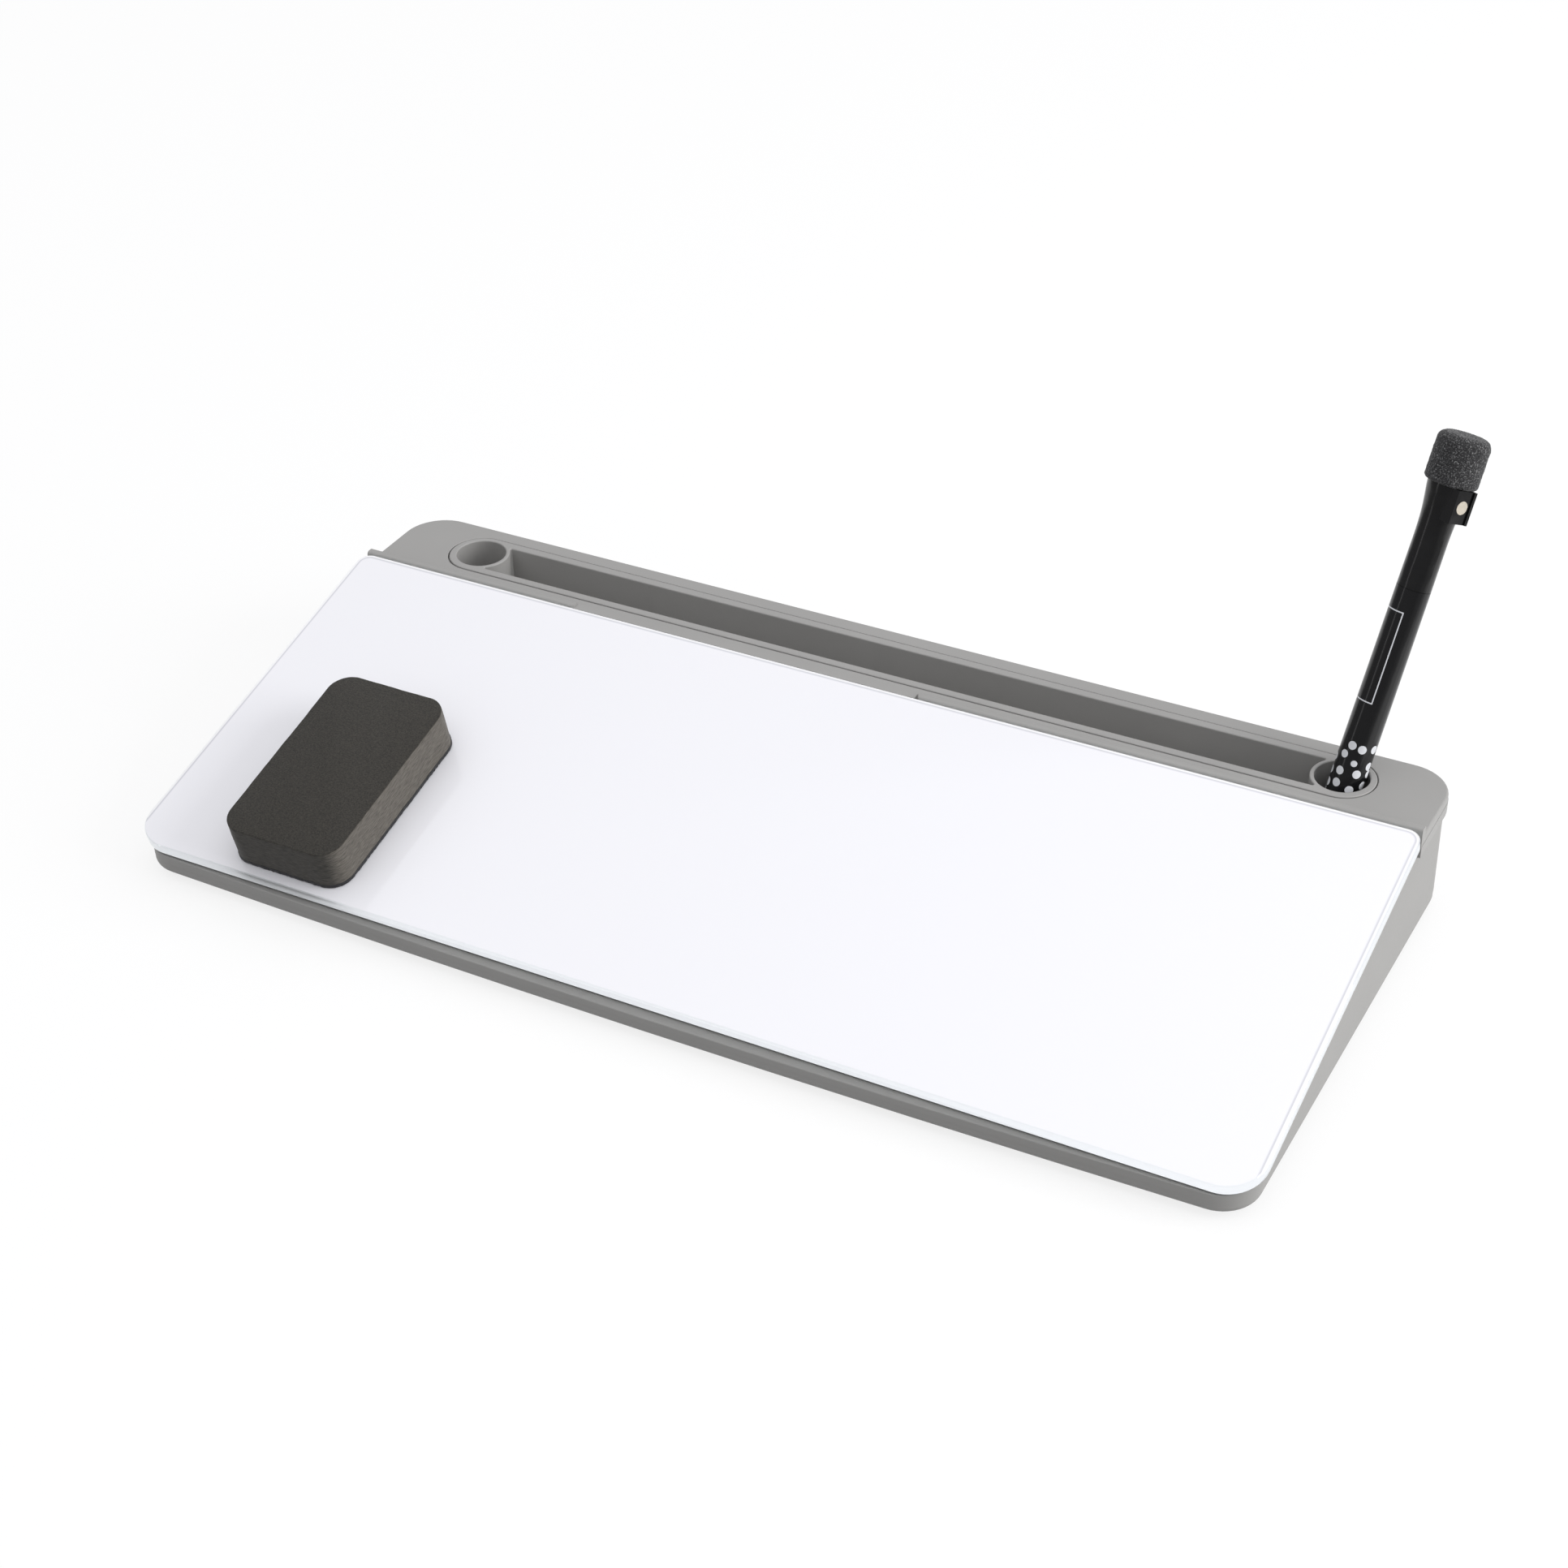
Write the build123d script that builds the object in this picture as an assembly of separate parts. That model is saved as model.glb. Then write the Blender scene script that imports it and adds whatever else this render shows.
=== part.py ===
from build123d import *
import math
import os

# A desk whiteboard easel: a glass writing board that slopes down to the user on a hollow moulded
# base, a lift-out accessory tray behind the board, a capped marker that leans in the tray's right
# cup, and a block eraser that lies on the glass.
# Millimetres. X is to the right, Y to the back, Z up. The origin is on the desk, under the middle
# of the base, on the underside of the middle foot.

# ---------------------------------------------------------------- driving dimensions
# glass board and what lies under it
board_tilt = 13.5
glass_width = 400.0
glass_depth = 148.35
glass_thickness = 4.0
glass_front_radius = 13.0
glass_rear_radius = 5.0
glass_arris = 0.35
board_front_height = 10.7
sheet_thickness = 0.5
sheet_inset = 0.5
tape_thickness = 0.45
tape_width = 12.0
tape_inset = 8.0
tape_corner_gap = 3.0

# base housing
side_overhang = 1.8
front_overhang = 0.3
front_bow = 2.7
housing_wall = 2.2
deck_thickness = 2.2
housing_front_radius = 13.0
housing_rear_radius = 14.0
deck_edge_round = 0.5
cross_wall_thickness = 6.0
rib_thickness = 1.6
rib_count = 4

# bottom cover, feet and the screws that hold the cover
foot_stand = 2.5
foot_radius = 6.0
foot_thickness = 3.1
foot_side_inset = 17.0
foot_end_inset = 17.0
cover_height = 4.3
cover_inset = 0.1
cover_floor = 2.0
cover_wall = 3.0
cover_lip_height = 1.2
cover_lip_thickness = 1.6
cover_edge_round = 2.4
screw_head_radius = 2.5
screw_head_height = 1.8
screw_shank_radius = 1.25
screw_length = 6.0
screw_recess = 0.4
driver_slot_length = 3.0
driver_slot_width = 0.7
driver_slot_depth = 0.9
boss_radius = 3.5
seat_radius = 4.6
seat_thickness = 1.6
screw_side_inset = 48.0
screw_front_inset = 13.0
rear_boss_height = 9.0
rear_boss_embed = 0.3

# shelf cover with its rim and the ridge behind the glass
ridge_gap = 0.15
ridge_thickness = 3.36
ridge_height = 4.13
ridge_round = 1.1
ridge_drop = 0.1
shelf_depth = 36.0
shelf_thickness = 2.8
rim_overhang = 1.05
rim_height = 6.6
rim_rebate = 1.2
rim_edge_round = 0.8
rim_band_height = 4.0
rim_band_step = 0.12
low_ridge_left = 87.1
low_ridge_length = 133.9
low_ridge_depth = 0.8
notch_width = 1.6
notch_depth = 2.8
post_radius = 3.2
post_side_inset = 10.8
post_spread = 18.0
post_tab_height = 26.0
post_tab_thickness = 2.5

# accessory tray
cup_play = 3.24
cup_wall = 1.6
cup_end_wall = 1.5
cup_depth = 17.2
cup_back = 0.6
cup_side_inset = 33.15
tray_setback = 19.47
tray_lip = 0.85
tray_flange = 1.6
tray_gap = 0.35
tray_back = 0.25
tray_floor = 1.5
tray_edge_round = 0.5
tray_rim_round = 0.4
opening_round = 0.3
trough_front_wall = 2.4
trough_rear_wall = 2.5
trough_front_corner = 0.5
trough_rear_corner = 0.6

# marker; heights run along its own axis, from the level of the cup's rim
barrel_radius = 5.8
barrel_top_radius = 5.64
barrel_wall = 1.0
barrel_top = 64.2
marker_heading = 71.5
marker_contact_heading = 56.4
lean_clearance = 0.15
plug_flange = 3.0
plug_spigot = 5.0
plug_round = 1.0
reservoir_length = 48.0
section_spigot = 8.0
section_neck = 7.0
section_cone = 7.5
section_tip_radius = 2.6
nib_radius = 1.7
nib_round = 1.35
nib_reach = 4.0
nib_tail = 10.0
cap_radius = 5.62
cap_waist = 5.55
cap_waist_height = 16.0
cap_top_radius = 7.15
cap_flare_radius = 6.15
cap_flare_height = 27.3
cap_height = 34.8
cap_stem_radius = 5.4
cap_stem_height = 9.0
cap_bore_depth = 24.0
cap_wall = 0.85
cap_seam = 0.1
seal_length = 6.0
seal_bore = 3.3
seal_floor = 1.0
clip_heading = -34.0
clip_width = 8.0
clip_reach = 8.2
clip_height = 10.8
clip_rail_width = 1.1
clip_rail_height = 0.5
magnet_radius = 2.2
magnet_thickness = 1.0
tip_radius = 8.75
tip_height = 16.0
tip_top_round = 3.0
tip_bottom_round = 1.2

# block eraser; its place is measured on the glass, from the glass's left and front edges
eraser_width = 45.4
eraser_length = 75.8
eraser_height = 16.0
eraser_felt = 1.3
eraser_corner = 8.0
eraser_edge_round = 0.5
eraser_from_left = 39.1
eraser_from_front = 3.7

# clearances, and how far a cutting shape runs past the face it opens
fit = 0.1
running_fit = 0.06
soft_gap = 0.3
seat_gap = 0.05
overcut = 1.0

# ---------------------------------------------------------------- places worked out from these
tilt = math.radians(board_tilt)
half_run = glass_depth / 2 * math.cos(tilt)
half_rise = glass_depth / 2 * math.sin(tilt)
glass_lean = glass_thickness * math.sin(tilt)

base_width = glass_width - 2 * side_overhang
base_depth = 2 * half_run - front_overhang + ridge_gap + ridge_thickness + shelf_depth
base_front = -base_depth / 2
base_rear = base_depth / 2
glass_y = base_front - front_overhang + half_run - glass_lean
glass_z = board_front_height + half_rise + glass_thickness * math.cos(tilt)
board = Plane(
    origin=(0, glass_y, glass_z),
    x_dir=(1, 0, 0),
    z_dir=(0, -math.sin(tilt), math.cos(tilt)),
)
sheet_drop = glass_thickness + seat_gap
tape_drop = sheet_drop + sheet_thickness
deck_drop = tape_drop + tape_thickness

ridge_front = glass_y + half_run + glass_lean + ridge_gap
ridge_rear = ridge_front + ridge_thickness
ridge_top = glass_z + half_rise - ridge_drop
shelf_top = ridge_top - ridge_height
shelf_under = shelf_top - shelf_thickness
rim_bottom = shelf_top - rim_height

housing_bottom = foot_stand + cover_height
cover_top_of_floor = foot_stand + cover_floor
cover_head_seat = foot_stand + screw_recess + screw_head_height
seat_top = cover_head_seat + seat_thickness
boss_bottom = seat_top + seat_gap
wall_foot = housing_bottom + cover_lip_height + fit
tall = 2 * ridge_top

cup_radius = barrel_radius + cup_play
cup_x = base_width / 2 - cup_side_inset
tray_y = ridge_rear + tray_setback
cup_y = tray_y + cup_back
tray_radius = cup_radius + cup_wall
flange_radius = tray_radius + tray_lip
flange_seat = shelf_top - tray_flange - seat_gap
cup_floor = shelf_top - cup_depth
tray_bottom = cup_floor - tray_floor

# The marker leans until its barrel meets the cup's rim on one side and the cup's wall, at the
# floor, on the other. The lean is where the two agree.
lean = math.atan(2 * cup_play / cup_depth)
for step in range(40):
    slack = 2 * cup_radius - 2 * barrel_radius * math.cos(lean) - lean_clearance
    lean = math.atan(slack / cup_depth)
rim_shift = cup_radius - barrel_radius / math.cos(lean)
heading = math.radians(marker_heading)
contact = math.radians(marker_contact_heading)
clip_turn = math.radians(clip_heading)
marker = Plane(
    origin=(
        cup_x + rim_shift * math.cos(contact),
        cup_y + rim_shift * math.sin(contact),
        shelf_top,
    ),
    x_dir=(math.cos(clip_turn), math.sin(clip_turn), 0),
    z_dir=(
        math.sin(lean) * math.cos(heading),
        math.sin(lean) * math.sin(heading),
        math.cos(lean),
    ),
)
drop_to_floor = cup_depth - seat_gap - (barrel_radius - plug_round) * math.sin(lean) - plug_round
marker_end = -drop_to_floor / math.cos(lean) - plug_round
barrel_end = marker_end + plug_flange
barrel_bore = barrel_top_radius - barrel_wall
reservoir_start = barrel_end + plug_spigot + fit
section_top = barrel_top + section_neck + section_cone
cap_start = barrel_top + cap_seam
cap_end = cap_start + cap_height
cap_bore = cap_waist - cap_wall


# ---------------------------------------------------------------- shared shapes
def round_corners(outline, front_radius, rear_radius):
    """Give an outline's two front corners one radius and its two rear corners another."""
    outline = fillet(outline.vertices().group_by(Axis.Y)[0], front_radius)
    return fillet(outline.vertices().group_by(Axis.Y)[-1], rear_radius)


def base_outline(grow):
    """The housing's outline from above, grown outwards by a distance; its front bows forwards."""
    half = base_width / 2 + grow
    front = base_front - grow
    rear = base_rear + grow
    bow = ThreePointArc((half, front), (0, front - front_bow), (-half, front))
    rest = Polyline((-half, front), (-half, rear), (half, rear), (half, front))
    outline = make_face(bow + rest)
    return round_corners(outline, housing_front_radius + grow, housing_rear_radius + grow)


def slab(outline, bottom, top):
    return extrude(Pos(0, 0, bottom) * outline, amount=top - bottom)


def block(left, right, front, rear, bottom, top):
    centre = Pos((left + right) / 2, (front + rear) / 2, (bottom + top) / 2)
    return centre * Box(right - left, rear - front, top - bottom)


def rod(x, y, radius, bottom, top):
    return Pos(x, y, (bottom + top) / 2) * Cylinder(radius, top - bottom)


def behind(front):
    return block(-glass_width, glass_width, front, 2 * base_rear, -tall, 2 * tall)


def glass_outline(inset):
    outline = Rectangle(glass_width - 2 * inset, glass_depth - 2 * inset)
    return round_corners(outline, glass_front_radius - inset, glass_rear_radius - inset)


def below_board(depth):
    """Everything deeper than a distance under the glass's top face."""
    lid = Box(2 * glass_width, 3 * glass_depth, tall, align=(Align.CENTER, Align.CENTER, Align.MAX))
    return board.location * Pos(0, 0, -depth) * lid


def turned(*points):
    """A solid of revolution about the Z axis from (radius, height) points."""
    outline = Polyline(*[(radius, 0, height) for radius, height in points], close=True)
    return revolve(make_face(outline), Axis.Z)


def stadium(radius):
    return Pos(0, tray_y) * SlotCenterToCenter(2 * cup_x, 2 * radius)


cover_screw_x = base_width / 2 - screw_side_inset
rear_screw_y = base_rear - housing_wall - boss_radius + rear_boss_embed
front_screws = [(x, base_front + screw_front_inset) for x in (-cover_screw_x, 0, cover_screw_x)]
rear_screws = [(x, rear_screw_y) for x in (-cover_screw_x, 0, cover_screw_x)]
cover_screws = front_screws + rear_screws
post_x = base_width / 2 - post_side_inset
shelf_posts = [(x, tray_y + y) for x in (-post_x, post_x) for y in (-post_spread / 2, post_spread / 2)]
foot_x = base_width / 2 - foot_side_inset
foot_y = base_depth / 2 - foot_end_inset
feet = [(x, y) for x in (-foot_x, foot_x) for y in (-foot_y, foot_y)] + [(0, 0)]
rib_pitch = base_width / (rib_count + 1)


# ---------------------------------------------------------------- base
def base_housing():
    """Hollow moulding: sloping deck, four upright walls, a cross wall and a well for the tray."""
    deck_end = ridge_front - ridge_gap
    cross_front = ridge_rear - cross_wall_thickness
    outer = slab(base_outline(0), housing_bottom, shelf_under)
    nose = slab(base_outline(0), housing_bottom, tall) - behind(deck_end)
    outer = outer + nose
    outer = outer - (slab(base_outline(fit), 0, 2 * tall) - below_board(deck_drop) - behind(deck_end))
    deck = outer.faces().filter_by(lambda face: face.normal_at().dot(board.z_dir) > math.cos(tilt / 2))
    rounded = [edge for edge in deck.sort_by(Axis.Y)[0].edges() if edge.center().Y < deck_end - overcut]
    outer = fillet(rounded, deck_edge_round)

    inside = slab(base_outline(-housing_wall), housing_bottom - fit, tall)
    under_deck = inside & below_board(deck_drop + deck_thickness)
    under_deck = under_deck - behind(cross_front)
    for count in range(rib_count):
        x = -base_width / 2 + (count + 1) * rib_pitch
        half = rib_thickness / 2
        under_deck = under_deck - block(x - half, x + half, base_front, base_rear, 0, tall)
    well = inside & behind(ridge_rear)
    tab_top = post_tab_height + post_tab_thickness
    tab_inner = post_x - post_radius - fit
    tab = block(tab_inner, base_width / 2, ridge_front, base_rear, post_tab_height, tab_top)
    well = well - tab - mirror(tab, Plane.YZ)
    lip_room = slab(base_outline(-housing_wall), housing_bottom - fit, wall_foot)
    housing = outer - under_deck - well - lip_room

    for x, y in front_screws:
        post = rod(x, y, boss_radius, boss_bottom, tall) & below_board(deck_drop + deck_thickness / 2)
        housing = housing + post
    for x, y in rear_screws:
        housing = housing + rod(x, y, boss_radius, boss_bottom, boss_bottom + rear_boss_height)
    for x, y in cover_screws:
        pilot_top = cover_head_seat + screw_length + 2 * fit
        housing = housing - rod(x, y, screw_shank_radius + running_fit, boss_bottom - overcut, pilot_top)
    for x, y in shelf_posts:
        hole = screw_shank_radius + 2 * fit
        housing = housing - rod(x, y, hole, post_tab_height - overcut, tab_top + overcut)

    rebate = slab(base_outline(overcut), rim_bottom - fit, tall) & behind(ridge_front - fit)
    rebate = rebate - slab(base_outline(-rim_rebate), 0, 2 * tall)
    return housing - rebate


def bottom_cover():
    """Shallow pan that closes the housing from below, with screw seats and foot recesses."""
    cover = slab(base_outline(-cover_inset), foot_stand, housing_bottom)
    cover = fillet(cover.edges().group_by(Axis.Z)[0], cover_edge_round)
    pocket = slab(base_outline(-cover_inset - cover_wall), cover_top_of_floor, tall)
    cover = cover - pocket
    lip_face = housing_wall + fit
    lip = slab(base_outline(-lip_face), housing_bottom - seat_gap, housing_bottom + cover_lip_height)
    lip = lip + slab(base_outline(-lip_face), cover_top_of_floor, housing_bottom)
    lip = lip - slab(base_outline(-lip_face - cover_lip_thickness), 0, tall)
    cover = cover + lip
    for x, y in cover_screws:
        seat = rod(x, y, seat_radius, foot_stand + fit, seat_top)
        cover = cover + (seat & slab(base_outline(-cover_inset - cover_wall / 2), 0, tall))
        cover = cover - rod(x, y, boss_radius + 3 * fit, seat_top, tall)
        cover = cover - rod(x, y, screw_head_radius + 2 * fit, 0, cover_head_seat)
        cover = cover - rod(x, y, screw_shank_radius + 2 * fit, 0, tall)
    for x, y in feet:
        cover = cover - rod(x, y, foot_radius + 2 * fit, 0, foot_thickness)
    return cover


def pan_screw(length):
    """A pan-head screw standing on its head, with a cross slot; its head's seat is at Z = 0."""
    head = rod(0, 0, screw_head_radius, -screw_head_height, 0)
    head = fillet(head.edges().group_by(Axis.Z)[0], screw_head_height / 3)
    screw = head + rod(0, 0, screw_shank_radius, 0, length)
    screw = chamfer(screw.edges().group_by(Axis.Z)[-1], screw_shank_radius / 3)
    slot_top = driver_slot_depth - screw_head_height
    slot = Pos(0, 0, slot_top) * Box(
        driver_slot_length,
        driver_slot_width,
        driver_slot_depth + overcut,
        align=(Align.CENTER, Align.CENTER, Align.MAX),
    )
    return screw - slot - Rot(0, 0, 90) * slot


def bottom_screws():
    return [Pos(x, y, cover_head_seat) * pan_screw(screw_length) for x, y in cover_screws]


def shelf_screws():
    return [Pos(x, y, post_tab_height) * pan_screw(screw_length) for x, y in shelf_posts]


def rubber_feet():
    discs = []
    for x, y in feet:
        disc = rod(x, y, foot_radius, 0, foot_thickness)
        discs.append(chamfer(disc.edges().group_by(Axis.Z)[0], foot_stand / 3))
    return discs


def shelf_cover():
    """Flat shelf with a skirt round three sides, the ridge behind the glass and the tray's seat."""
    half = base_width / 2
    plate = slab(base_outline(0), shelf_under, shelf_top) & behind(ridge_front)
    band_top = rim_bottom + rim_band_height
    rim = slab(base_outline(rim_overhang - rim_band_step), band_top, shelf_top)
    rim = fillet(rim.edges().group_by(Axis.Z)[-1], rim_edge_round)
    band = slab(base_outline(rim_overhang), rim_bottom, band_top)
    band = chamfer(band.edges().group_by(Axis.Z)[0], rim_band_step)
    skirt = (rim + band) & behind(ridge_front)
    skirt = skirt - slab(base_outline(-rim_rebate + fit), 0, shelf_under)
    ridge_end = half + rim_overhang - rim_band_step
    ridge = block(-ridge_end, ridge_end, ridge_front, ridge_rear, shelf_under, ridge_top)
    ridge = fillet(ridge.edges().filter_by(Axis.X).group_by(Axis.Z)[-1], ridge_round)
    low_left = -half + low_ridge_left
    low_right = low_left + low_ridge_length
    low_top = ridge_top - low_ridge_depth
    ridge = ridge - block(low_left, low_right, 0, base_rear, low_top, tall)
    notch_floor = ridge_top - notch_depth
    ridge = ridge - block(low_right, low_right + notch_width, 0, base_rear, notch_floor, tall)
    cover = plate + skirt + ridge
    for x, y in shelf_posts:
        post_bottom = post_tab_height + post_tab_thickness
        post = rod(x, y, post_radius, post_bottom, shelf_under + fit)
        pilot_top = post_tab_height + screw_length + fit
        cover = cover + post
        cover = cover - rod(x, y, screw_shank_radius + running_fit, post_bottom - overcut, pilot_top)
    opening = slab(stadium(flange_radius + tray_gap), flange_seat, tall)
    opening = opening + slab(stadium(tray_radius + tray_gap), 0, tall)
    cover = cover - Pos(0, -tray_back) * opening
    shelf = [face for face in cover.faces() if abs(face.center().Z - shelf_top) < fit and face.inner_wires()]
    return fillet(shelf[0].inner_wires().edges(), opening_round)


# ---------------------------------------------------------------- board
def glass_panel():
    glass = extrude(board * glass_outline(0), amount=-glass_thickness)
    faces = glass.faces().sort_by(SortBy.AREA)[-2:]
    return chamfer([edge for face in faces for edge in face.edges()], glass_arris)


def steel_backing_sheet():
    sheet = board.offset(-sheet_drop) * glass_outline(sheet_inset)
    return extrude(sheet, amount=-sheet_thickness)


def adhesive_strips():
    """Two long and two short strips of tape round the underside of the steel sheet."""
    face = board.offset(-tape_drop)
    edge_y = glass_depth / 2 - tape_inset - tape_width / 2
    edge_x = glass_width / 2 - tape_inset - tape_width / 2
    long_side = glass_width - 2 * tape_inset
    short_side = glass_depth - 2 * (tape_inset + tape_width + tape_corner_gap)
    strips = []
    for side in (-1, 1):
        across = Pos(0, side * edge_y) * Rectangle(long_side, tape_width)
        along = Pos(side * edge_x, 0) * Rectangle(tape_width, short_side)
        strips.append(extrude(face * across, amount=-tape_thickness))
        strips.append(extrude(face * along, amount=-tape_thickness))
    return strips


# ---------------------------------------------------------------- tray
def organizer_tray():
    """Long insert with a round cup at each end and an open trough between them."""
    tray = slab(stadium(flange_radius), shelf_top - tray_flange, shelf_top)
    tray = tray + slab(stadium(tray_radius), tray_bottom, shelf_top - tray_flange)
    front = tray_y - tray_radius
    rear = tray_y + tray_radius
    trough_front = front + trough_front_wall
    trough_rear = rear - trough_rear_wall
    trough = Pos(0, (trough_front + trough_rear) / 2) * Rectangle(2 * cup_x, trough_rear - trough_front)
    for side in (-1, 1):
        trough = trough - Pos(side * cup_x, cup_y) * Circle(cup_radius + cup_end_wall)
    trough = fillet(trough.vertices().group_by(Axis.Y)[0], trough_front_corner)
    trough = fillet(trough.vertices().group_by(Axis.Y)[-1], trough_rear_corner)
    tray = tray - slab(trough, cup_floor, tall)
    for side in (-1, 1):
        tray = tray - rod(side * cup_x, cup_y, cup_radius, cup_floor, tall)
    tray = fillet(tray.faces().sort_by(Axis.Z)[-1].inner_wires().edges(), tray_edge_round)
    return fillet(tray.faces().sort_by(Axis.Z)[-1].outer_wire().edges(), tray_rim_round)


# ---------------------------------------------------------------- marker
def marker_barrel():
    tube = turned(
        (barrel_bore, barrel_end),
        (barrel_radius, barrel_end),
        (barrel_top_radius, barrel_top),
        (barrel_bore, barrel_top),
    )
    return marker.location * tube


def marker_end_plug():
    plug = rod(0, 0, barrel_radius, marker_end, barrel_end)
    plug = fillet(plug.edges().group_by(Axis.Z)[0], plug_round)
    spigot = rod(0, 0, barrel_bore - running_fit, barrel_end, barrel_end + plug_spigot)
    return marker.location * (plug + spigot)


def ink_reservoir():
    wick = rod(0, 0, barrel_bore - soft_gap, reservoir_start, reservoir_start + reservoir_length)
    return marker.location * chamfer(wick.edges().filter_by(GeomType.CIRCLE), soft_gap)


def nib_holder():
    """Plug in the barrel's mouth, a neck that the cap grips and a cone down to the nib."""
    spigot_start = barrel_top - section_spigot
    neck_top = barrel_top + section_neck
    neck = barrel_bore - running_fit
    bore = nib_radius + running_fit
    holder = turned(
        (bore, spigot_start),
        (neck, spigot_start),
        (neck, neck_top),
        (section_tip_radius, section_top),
        (bore, section_top),
    )
    return marker.location * holder


def writing_nib():
    tail = barrel_top - nib_tail
    nib = rod(0, 0, nib_radius, tail, section_top + nib_reach)
    return marker.location * fillet(nib.edges().group_by(Axis.Z)[-1], nib_round)


def marker_cap():
    """Cap that flares towards the felt tip, with a stem inside it and a magnet seat on one side."""
    waist = cap_start + cap_waist_height
    flare = Spline(
        (cap_waist, 0, waist),
        (cap_flare_radius, 0, cap_start + cap_flare_height),
        (cap_top_radius, 0, cap_end),
        tangents=((0, 0, 1), (cap_top_radius - cap_waist, 0, cap_end - waist - cap_wall)),
    )
    stem_top = cap_end + cap_stem_height
    rest = Polyline(
        (cap_top_radius, 0, cap_end),
        (cap_stem_radius, 0, cap_end),
        (cap_stem_radius, 0, stem_top),
        (0, 0, stem_top),
        (0, 0, cap_start),
        (cap_radius, 0, cap_start),
        (cap_waist, 0, waist),
    )
    cap = revolve(make_face(flare + rest), Axis.Z)
    half = clip_width / 2
    clip_bottom = cap_end - clip_height
    seat = block(0, clip_reach, -half, half, clip_bottom, cap_end)
    for side in (-1, 1):
        middle = side * (half - clip_rail_width / 2)
        left = middle - clip_rail_width / 2
        right = middle + clip_rail_width / 2
        seat = seat + block(0, clip_reach + clip_rail_height, left, right, clip_bottom, cap_end)
    cap = cap + seat
    cap = cap - rod(0, 0, cap_bore, cap_start - overcut, cap_start + cap_bore_depth)
    pocket = Rot(0, 90, 0) * Cylinder(magnet_radius + running_fit, 2 * magnet_thickness)
    pocket = Pos(clip_reach, 0, cap_end - clip_height / 2) * pocket
    return marker.location * (cap - pocket)


def cap_seal():
    """Soft bush at the blind end of the cap's bore, which closes round the nib."""
    seal_top = cap_start + cap_bore_depth
    seal = rod(0, 0, cap_bore - running_fit, seal_top - seal_length, seal_top)
    seal = seal - rod(0, 0, seal_bore, seal_top - seal_length - overcut, seal_top - seal_floor)
    return marker.location * seal


def cap_magnet():
    disc = Rot(0, 90, 0) * Cylinder(magnet_radius, magnet_thickness)
    disc = Pos(clip_reach - magnet_thickness / 2, 0, cap_end - clip_height / 2) * disc
    return marker.location * disc


def felt_tip_eraser():
    """Soft round eraser that sits over the cap's stem."""
    tip = rod(0, 0, tip_radius, cap_end + seat_gap, cap_end + tip_height)
    tip = fillet(tip.edges().group_by(Axis.Z)[-1], tip_top_round)
    tip = fillet(tip.edges().group_by(Axis.Z)[0], tip_bottom_round)
    socket = rod(0, 0, cap_stem_radius + fit, cap_end - overcut, cap_end + cap_stem_height + fit)
    return marker.location * (tip - socket)


# ---------------------------------------------------------------- block eraser
def eraser_outline():
    x = -glass_width / 2 + eraser_from_left + eraser_width / 2
    y = -glass_depth / 2 + eraser_from_front + eraser_length / 2
    return Pos(x, y) * RectangleRounded(eraser_width, eraser_length, eraser_corner)


def eraser_felt_pad():
    return extrude(board.offset(soft_gap) * eraser_outline(), amount=eraser_felt)


def eraser_foam_block():
    foot = board.offset(soft_gap + eraser_felt)
    foam = extrude(foot * eraser_outline(), amount=eraser_height - eraser_felt)
    top = foam.faces().sort_by(Axis.Z)[-1]
    return fillet(top.edges(), eraser_edge_round)


# ---------------------------------------------------------------- one file for each node
def write(node, shape):
    solids = shape if isinstance(shape, list) else [shape]
    solids = [solid for item in solids for solid in item.solids()]
    whole = solids[0] if len(solids) == 1 else Compound(children=solids)
    whole.label = node
    export_step(whole, f"parts/{node}.step")


os.makedirs("parts", exist_ok=True)
write("base_housing", base_housing())
write("bottom_cover", bottom_cover())
write("bottom_screws", bottom_screws())
write("rubber_feet", rubber_feet())
write("shelf_cover", shelf_cover())
write("shelf_screws", shelf_screws())
write("glass_panel", glass_panel())
write("steel_backing_sheet", steel_backing_sheet())
write("adhesive_strips", adhesive_strips())
write("organizer_tray", organizer_tray())
write("marker_barrel", marker_barrel())
write("marker_end_plug", marker_end_plug())
write("ink_reservoir", ink_reservoir())
write("nib_holder", nib_holder())
write("writing_nib", writing_nib())
write("marker_cap", marker_cap())
write("cap_seal", cap_seal())
write("cap_magnet", cap_magnet())
write("felt_tip_eraser", felt_tip_eraser())
write("eraser_felt_pad", eraser_felt_pad())
write("eraser_foam_block", eraser_foam_block())
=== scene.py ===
import math
import bmesh
import bpy
from mathutils import Matrix, Vector


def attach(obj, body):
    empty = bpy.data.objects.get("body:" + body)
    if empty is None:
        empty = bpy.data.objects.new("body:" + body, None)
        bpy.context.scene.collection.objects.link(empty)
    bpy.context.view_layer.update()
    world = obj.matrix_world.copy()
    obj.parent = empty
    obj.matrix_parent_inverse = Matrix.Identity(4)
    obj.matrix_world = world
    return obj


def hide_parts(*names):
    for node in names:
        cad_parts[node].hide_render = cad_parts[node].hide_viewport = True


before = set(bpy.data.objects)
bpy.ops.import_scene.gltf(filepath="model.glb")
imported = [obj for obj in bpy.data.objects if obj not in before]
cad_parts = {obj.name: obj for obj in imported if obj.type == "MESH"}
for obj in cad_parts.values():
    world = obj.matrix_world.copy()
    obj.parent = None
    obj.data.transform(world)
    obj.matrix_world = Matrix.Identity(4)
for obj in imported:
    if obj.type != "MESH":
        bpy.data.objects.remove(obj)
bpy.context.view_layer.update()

bpy.ops.object.select_all(action="DESELECT")

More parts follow.
